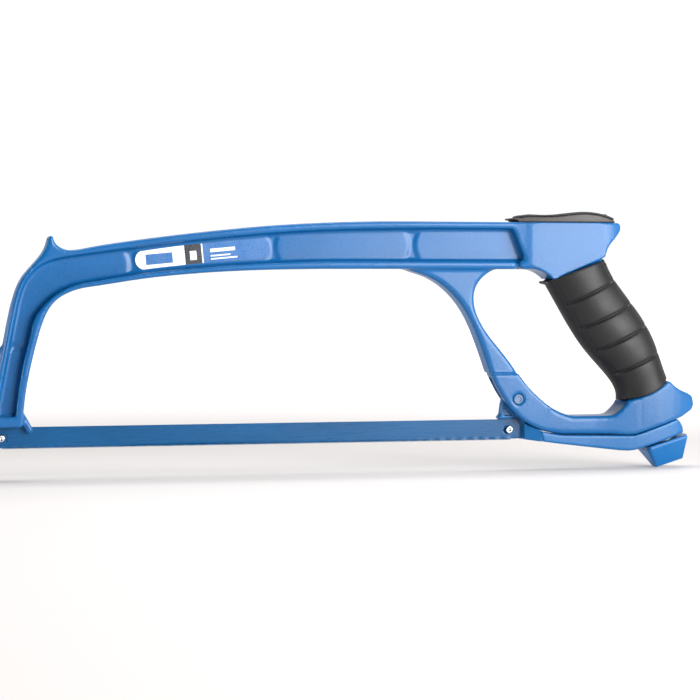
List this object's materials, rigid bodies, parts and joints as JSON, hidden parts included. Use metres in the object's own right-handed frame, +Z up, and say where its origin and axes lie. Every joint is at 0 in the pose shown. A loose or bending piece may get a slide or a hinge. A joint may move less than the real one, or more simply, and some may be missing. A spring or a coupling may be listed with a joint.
{
  "type": "hacksaw",
  "caption": "Hacksaw with a cast I-section bow frame, closed D handle with a ribbed grip, and a blade tensioned by a screw knob under a hinged lever.",
  "frame": {"origin": "under the middle of the whole saw, level with the lowest point of the tension knob", "axes": "+X along the blade from the front post towards the handle, +Z up from the blade to the beam, Y across the saw with the blade in the plane Y = 0"},
  "size_m": [0.4265, 0.0322, 0.1547],
  "materials": {
    "frame_paint": "satin powder coat over cast aluminium",
    "lever_paint": "satin powder coat over cast metal",
    "knob_paint": "satin powder coat over a zinc casting",
    "grip_rubber": "matte moulded rubber",
    "rest_pad_rubber": "matte moulded rubber",
    "rest_plastic": "fine textured moulding",
    "label_face": "printed polyester label",
    "blade_enamel": "thin blue enamel over spring steel",
    "pin_steel": "turned steel",
    "fastener_steel": "zinc plated steel",
    "bronze": "sintered bronze",
    "washer_plastic": "plain nylon"
  },
  "bodies": {
    "frame_body": {"frame": "frame_paint", "grip_sleeve": "grip_rubber", "thumb_rest_base": "rest_plastic", "thumb_rest_screws": "fastener_steel", "thumb_rest_pad": "rest_pad_rubber", "label_left": "label_face", "label_right": "label_face", "front_blade_pin": "pin_steel", "pivot_screw": "fastener_steel", "pivot_sleeve_nut": "fastener_steel", "pivot_washer_left": "washer_plastic", "pivot_washer_right": "washer_plastic"},
    "lever_body": {"lever": "lever_paint", "lever_bush": "bronze", "rear_blade_pin": "pin_steel"},
    "blade_body": {"blade": "blade_enamel"},
    "nut_body": {"barrel_nut": "fastener_steel"},
    "washer_body": {"thrust_washer": "fastener_steel"},
    "knob_body": {"knob": "knob_paint", "knob_collar": "fastener_steel", "friction_washer": "washer_plastic", "tension_screw": "fastener_steel"}
  },
  "joints": [
    {"name": "knob_turn", "type": "hinge", "parent": "washer_body", "child": "knob_body", "pos_m": [0.19411, 0, 0.01765], "axis": [0.2874, 0, -0.9578], "range_deg": [0, 2521.26]},
    {"name": "screw_feed", "type": "slide", "parent": "nut_body", "child": "washer_body", "axis": [0.2874, 0, -0.9578], "range_m": [0, 0.00875]},
    {"name": "nut_swing", "type": "hinge", "parent": "frame_body", "child": "nut_body", "pos_m": [0.17923, 0, 0.06727], "axis": [0, 1, 0], "range_deg": [0, 6.03]},
    {"name": "lever_pivot", "type": "hinge", "parent": "frame_body", "child": "lever_body", "pos_m": [0.09971, 0, 0.04305], "axis": [0, 1, 0], "range_deg": [0, 6.03]},
    {"name": "blade_slack", "type": "slide", "parent": "frame_body", "child": "blade_body", "axis": [-0.9752, 0, 0.2212], "range_m": [0, 0.00099343]}
  ],
  "couplings": [
    {"joint": "knob_turn", "follows": "screw_feed", "rad_per_m": 5026.5},
    {"joint": "nut_swing", "follows": "screw_feed", "rad_per_m": 12.031},
    {"joint": "lever_pivot", "follows": "screw_feed", "rad_per_m": 12.031},
    {"joint": "blade_slack", "follows": "screw_feed", "ratio": 0.11348}
  ]
}
